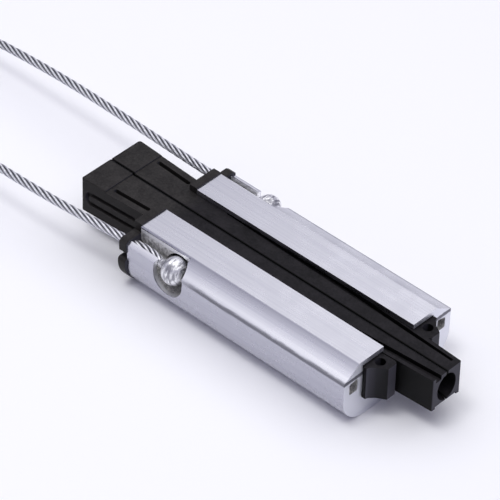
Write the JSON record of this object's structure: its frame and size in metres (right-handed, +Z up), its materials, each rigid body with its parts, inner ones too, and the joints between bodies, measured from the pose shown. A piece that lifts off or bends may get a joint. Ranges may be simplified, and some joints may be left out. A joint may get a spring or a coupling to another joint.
{
  "type": "anchor clamp",
  "caption": "Wedge-type anchor clamp for overhead bundled cable: aluminium jaws with plastic liners, a split wedge and a wire rope bail with ball ends.",
  "frame": {"origin": "on the flat underside of the aluminium body's plane, under the middle of the wedges' length and on the parting plane", "axes": "+X from the wedge heads and the bail towards the cable mouth, +Y towards the far jaw, +Z up through the open side of the jaws"},
  "size_m": [0.3837, 0.0724, 0.031],
  "materials": {
    "jaw_aluminium": "mill-finish extrusion, satin, sawn ends",
    "liner_plastic": "black moulded, fine matt",
    "wedge_plastic": "black glass-filled moulding, matt",
    "rope_steel": "galvanised stranded wire",
    "ball_steel": "swaged and plated"
  },
  "bodies": {
    "jaws": {"body": "jaw_aluminium", "liner_near": "liner_plastic", "liner_far": "liner_plastic", "bail_rope": "rope_steel", "ball_end_near": "ball_steel", "ball_end_far": "ball_steel"},
    "wedge_near": {"wedge_near": "wedge_plastic"},
    "wedge_far": {"wedge_far": "wedge_plastic"}
  },
  "joints": [
    {"name": "wedge_near_slide", "type": "slide", "parent": "jaws", "child": "wedge_near", "axis": [-0.9988, -0.0487, 0], "range_m": [0, 0.06]},
    {"name": "wedge_far_slide", "type": "slide", "parent": "jaws", "child": "wedge_far", "axis": [-0.9988, 0.0487, 0], "range_m": [0, 0.06]}
  ],
  "couplings": [
    {"joint": "wedge_far_slide", "follows": "wedge_near_slide", "ratio": 1}
  ]
}
